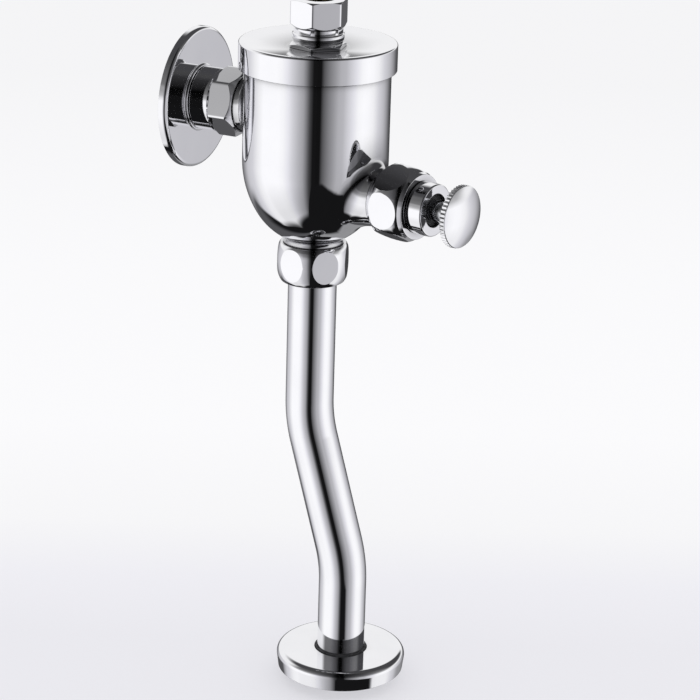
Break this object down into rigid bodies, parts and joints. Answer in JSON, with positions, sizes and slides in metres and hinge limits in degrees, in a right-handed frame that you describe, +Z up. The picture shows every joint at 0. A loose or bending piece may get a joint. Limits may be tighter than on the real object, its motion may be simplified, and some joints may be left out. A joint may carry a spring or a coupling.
{
  "type": "urinal flush valve",
  "caption": "Chrome wall-mounted push-button flush valve with round wall plate, regulator fitting on the cap and an S-bent flush pipe with a spud flange.",
  "frame": {"origin": "inlet axis where it meets the finished wall", "axes": "+Z up, +Y into the wall, the button points to -Y"},
  "size_m": [0.0604, 0.1336, 0.2769],
  "materials": {
    "chrome_plate": "polished chrome plate",
    "brass_plain": "machined brass",
    "rubber_black": "moulded black rubber",
    "steel_plain": "bright stainless steel",
    "plastic_white": "moulded plastic"
  },
  "bodies": {
    "housing": {"body_shell": "chrome_plate", "cap": "chrome_plate", "cap_seal": "rubber_black", "bonnet": "chrome_plate", "bonnet_seal": "rubber_black", "screw_seal": "rubber_black", "cylinder_liner": "brass_plain", "main_seat": "brass_plain", "piston_spring": "steel_plain", "inlet_coupling": "chrome_plate", "inlet_washer": "rubber_black", "inlet_strainer": "steel_plain", "wall_nipple": "chrome_plate", "outlet_nut": "chrome_plate", "outlet_seal": "rubber_black", "slip_ring": "plastic_white", "flush_pipe": "chrome_plate", "button_nut": "chrome_plate", "button_housing": "brass_plain", "front_collar": "chrome_plate", "guide_bush": "rubber_black", "stem_seal": "rubber_black", "housing_gasket": "rubber_black", "spring_seat": "brass_plain", "seat_clip": "steel_plain", "button_spring": "steel_plain"},
    "piston_unit": {"piston": "brass_plain", "piston_cup": "rubber_black", "seat_washer": "rubber_black", "piston_guide": "brass_plain", "relief_seat": "rubber_black"},
    "relief_unit": {"relief_valve": "steel_plain"},
    "button_unit": {"button_stem": "steel_plain", "button_disc": "chrome_plate"},
    "screw_unit": {"regulating_screw": "brass_plain", "screw_clip": "steel_plain"},
    "plug_unit": {"throttle_plug": "brass_plain"},
    "flange_unit": {"spud_flange": "chrome_plate", "spud_ring": "rubber_black"},
    "escutcheon_unit": {"wall_escutcheon": "chrome_plate"}
  },
  "joints": [
    {"name": "button_press", "type": "slide", "parent": "housing", "child": "button_unit", "axis": [0.1908, 0.9816, 0], "range_m": [0, 0.005], "stiffness_N_per_m": 400, "springref_m": -0.005, "deforming": ["button_spring"]},
    {"name": "piston_slide", "type": "slide", "parent": "housing", "child": "piston_unit", "axis": [0, 0, 1], "range_m": [0, 0.006], "stiffness_N_per_m": 300, "springref_m": -0.006, "deforming": ["piston_spring"]},
    {"name": "relief_tilt", "type": "hinge", "parent": "piston_unit", "child": "relief_unit", "pos_m": [-0.00107, -0.0593, 0.001], "axis": [0.9816, -0.1908, 0], "range_deg": [0, 10.3]},
    {"name": "regulator_turn", "type": "hinge", "parent": "housing", "child": "screw_unit", "pos_m": [0, -0.0538, 0.03], "axis": [0, 0, 1], "range_deg": [0, 1440]},
    {"name": "plug_slide", "type": "slide", "parent": "housing", "child": "plug_unit", "axis": [0, 0, 1], "range_m": [0, 0.004]},
    {"name": "flange_slide", "type": "slide", "parent": "housing", "child": "flange_unit", "axis": [0, 0, 1], "range_m": [0, 0.024]},
    {"name": "escutcheon_turn", "type": "hinge", "parent": "housing", "child": "escutcheon_unit", "pos_m": [0, 0, 0], "axis": [0, 1, 0], "continuous": true}
  ],
  "couplings": [
    {"joint": "relief_tilt", "follows": "button_press", "rad_per_m": 35.714},
    {"joint": "regulator_turn", "follows": "plug_slide", "rad_per_m": 6283.2}
  ]
}
